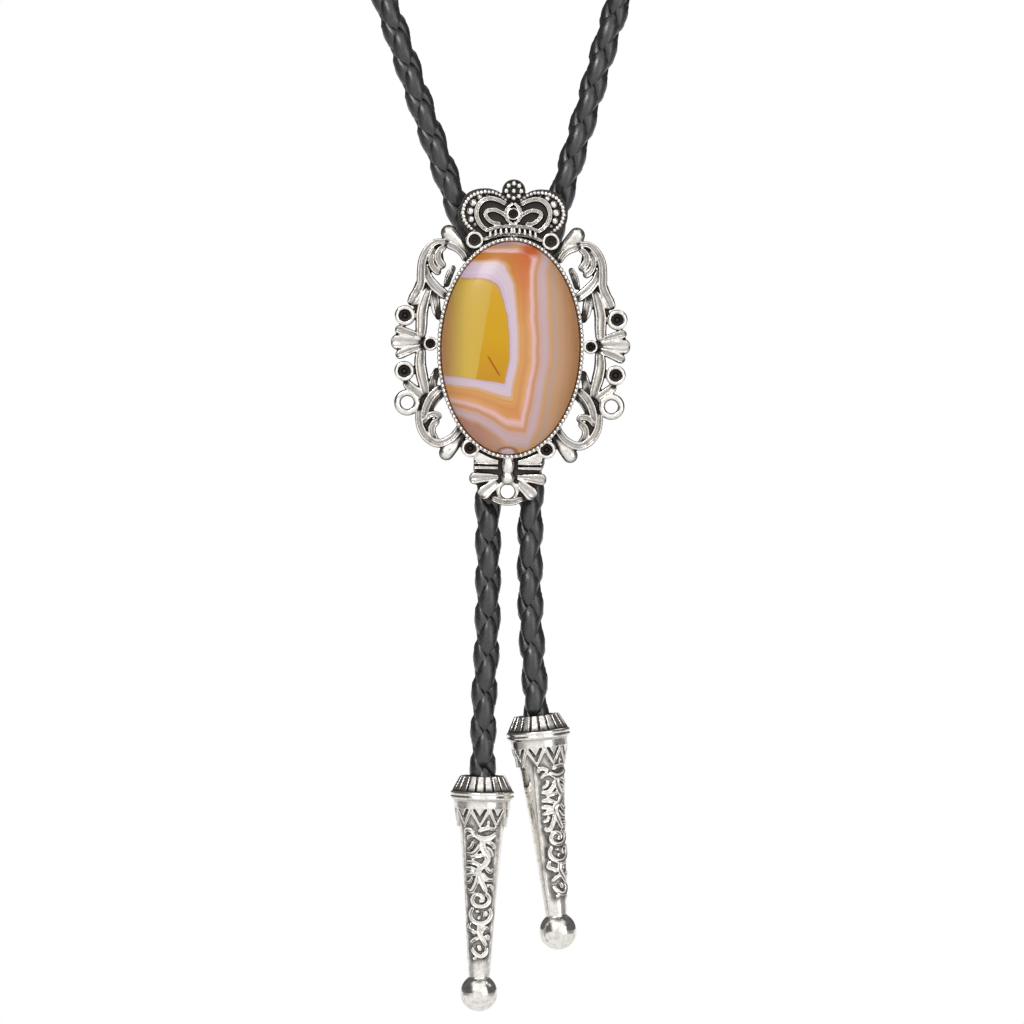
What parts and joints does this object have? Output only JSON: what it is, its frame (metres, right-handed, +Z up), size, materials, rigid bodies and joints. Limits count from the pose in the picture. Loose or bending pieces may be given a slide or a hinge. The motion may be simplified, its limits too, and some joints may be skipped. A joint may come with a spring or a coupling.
{
  "type": "bolo tie",
  "caption": "Bolo tie: a cast, pierced oval slide set with a domed banded stone, on a braided leather cord with cone tips",
  "frame": {"origin": "the nape of the neck, on the inner side of the cord where the tie hangs", "axes": "+X to the right of a front view, +Y to the wearer's back, +Z up"},
  "size_m": [0.1345, 0.154, 0.3815],
  "materials": {
    "cast_silver": "antiqued cast silver-coloured metal, dark in its recesses",
    "agate": "polished banded agate, ochre, lavender grey and tan",
    "clasp_metal": "plain satin metal",
    "black_leather": "braided, semi-matt black leather"
  },
  "bodies": {
    "root": {"setting": "cast_silver", "cabochon": "agate", "slide_back": "clasp_metal", "cord": "black_leather", "tip_left": "cast_silver", "tip_right": "cast_silver"}
  },
  "joints": []
}
